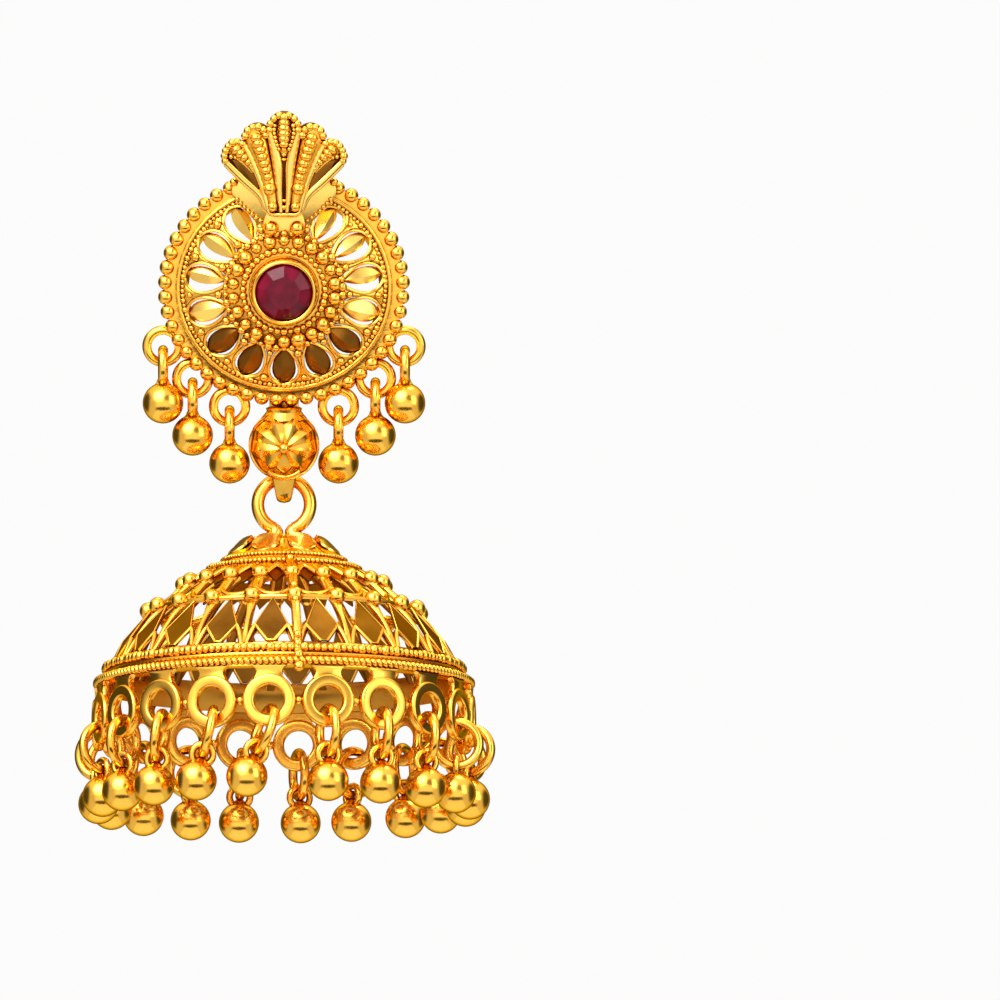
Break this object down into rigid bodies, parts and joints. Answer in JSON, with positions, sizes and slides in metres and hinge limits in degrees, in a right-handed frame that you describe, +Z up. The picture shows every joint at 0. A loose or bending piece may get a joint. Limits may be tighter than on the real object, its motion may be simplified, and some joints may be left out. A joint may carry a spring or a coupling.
{
  "type": "jhumka earring",
  "caption": "Bell-shaped drop earring: a pierced rosette stud with a fan crest and a red stone carries a domed, pierced bell hung with small ball drops on rings.",
  "frame": {"origin": "on the ear post's axis, at the back face of its foot, where the post enters the ear lobe", "axes": "+Z up, +X to the right as seen from the front, and the front of the rosette faces -Y"},
  "size_m": [0.0315, 0.0317, 0.0523],
  "materials": {
    "gold": "bright polished yellow gold tone",
    "antique_gold": "yellow gold tone, browner on its flat kite-shaped plates",
    "red_stone": "clear deep red cut stone"
  },
  "bodies": {
    "stud": {"rosette": "gold", "crest": "gold", "setting": "gold", "stone": "red_stone", "ear_post": "gold", "flower_ball": "gold", "stud_drop_1": "gold", "stud_drop_2": "gold", "stud_drop_3": "gold", "stud_drop_4": "gold", "stud_drop_5": "gold", "stud_drop_6": "gold"},
    "hanging_dome": {"dome": "antique_gold", "dome_cap": "gold", "jump_ring_01": "gold", "jump_ring_02": "gold", "jump_ring_03": "gold", "jump_ring_04": "gold", "jump_ring_05": "gold", "jump_ring_06": "gold", "jump_ring_07": "gold", "jump_ring_08": "gold", "jump_ring_09": "gold", "jump_ring_10": "gold", "jump_ring_11": "gold", "jump_ring_12": "gold", "jump_ring_13": "gold", "jump_ring_14": "gold", "jump_ring_15": "gold", "jump_ring_16": "gold", "jump_ring_17": "gold", "jump_ring_18": "gold", "jump_ring_19": "gold", "jump_ring_20": "gold", "ball_drop_01": "gold", "ball_drop_02": "gold", "ball_drop_03": "gold", "ball_drop_04": "gold", "ball_drop_05": "gold", "ball_drop_06": "gold", "ball_drop_07": "gold", "ball_drop_08": "gold", "ball_drop_09": "gold", "ball_drop_10": "gold", "ball_drop_11": "gold", "ball_drop_12": "gold", "ball_drop_13": "gold", "ball_drop_14": "gold", "ball_drop_15": "gold", "ball_drop_16": "gold", "ball_drop_17": "gold", "ball_drop_18": "gold", "ball_drop_19": "gold", "ball_drop_20": "gold"}
  },
  "joints": [
    {"name": "dome_swing", "type": "hinge", "parent": "stud", "child": "hanging_dome", "pos_m": [0, 0.00252, -0.01425], "axis": [1, 0, 0], "range_deg": [-75, 60]}
  ]
}
